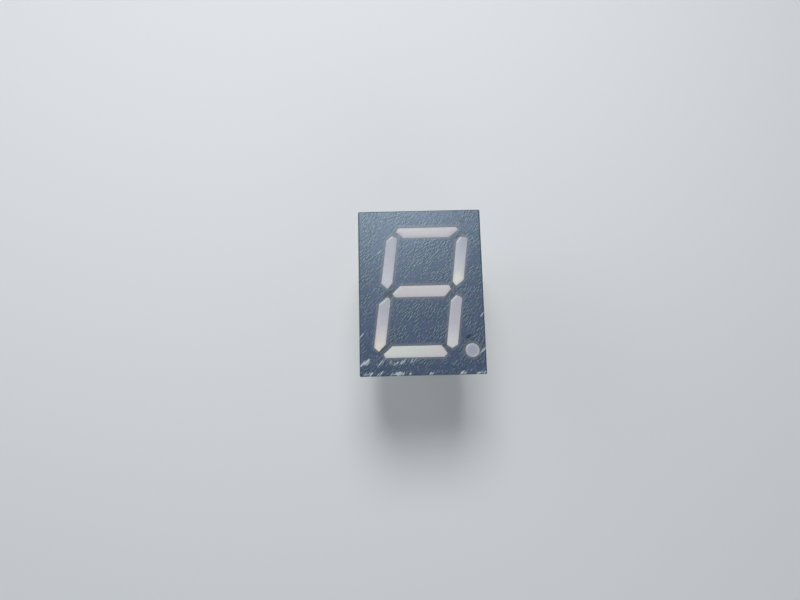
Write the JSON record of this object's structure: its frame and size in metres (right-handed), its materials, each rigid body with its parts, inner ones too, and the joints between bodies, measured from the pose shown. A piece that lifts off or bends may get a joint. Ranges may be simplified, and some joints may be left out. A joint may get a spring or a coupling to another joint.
{
  "type": "seven segment display",
  "caption": "Single digit seven segment LED display with a decimal point, dark face, pale segments and straight board pins.",
  "frame": {"origin": "centre of the seating plane, the back face of the housing's rim, where it stands on a circuit board", "axes": "+Z out of the display's face, +Y up the digit, +X to the digit's right; the pins point along -Z"},
  "size_m": [0.0098, 0.013, 0.0123],
  "materials": {
    "housing": "dark grey coat with fine slanting grain over white plastic, worn at the lower edge",
    "light_guide": "milky cast epoxy, smooth",
    "point_guide": "milky cast epoxy, smooth",
    "board": "glass-epoxy board",
    "copper": "bright copper foil",
    "chip": "semiconductor die",
    "gold": "bright gold wire",
    "tinned_pin": "dull tin plate",
    "solder": "bright solder",
    "potting": "milky cast epoxy"
  },
  "bodies": {
    "root": {"reflector_housing": "housing", "segment_a": "light_guide", "segment_b": "light_guide", "segment_c": "light_guide", "segment_d": "light_guide", "segment_e": "light_guide", "segment_f": "light_guide", "segment_g": "light_guide", "decimal_point": "point_guide", "circuit_board": "board", "board_copper": "copper", "back_potting": "potting", "led_chip_a": "chip", "led_chip_b": "chip", "led_chip_c": "chip", "led_chip_d": "chip", "led_chip_e": "chip", "led_chip_f": "chip", "led_chip_g": "chip", "led_chip_dp": "chip", "bond_wire_a": "gold", "bond_wire_b": "gold", "bond_wire_c": "gold", "bond_wire_d": "gold", "bond_wire_e": "gold", "bond_wire_f": "gold", "bond_wire_g": "gold", "bond_wire_dp": "gold", "pin_1": "tinned_pin", "pin_2": "tinned_pin", "pin_3": "tinned_pin", "pin_4": "tinned_pin", "pin_5": "tinned_pin", "pin_6": "tinned_pin", "pin_7": "tinned_pin", "pin_8": "tinned_pin", "pin_9": "tinned_pin", "pin_10": "tinned_pin", "solder_joint_1": "solder", "solder_joint_2": "solder", "solder_joint_3": "solder", "solder_joint_4": "solder", "solder_joint_5": "solder", "solder_joint_6": "solder", "solder_joint_7": "solder", "solder_joint_8": "solder", "solder_joint_9": "solder", "solder_joint_10": "solder"}
  },
  "joints": []
}
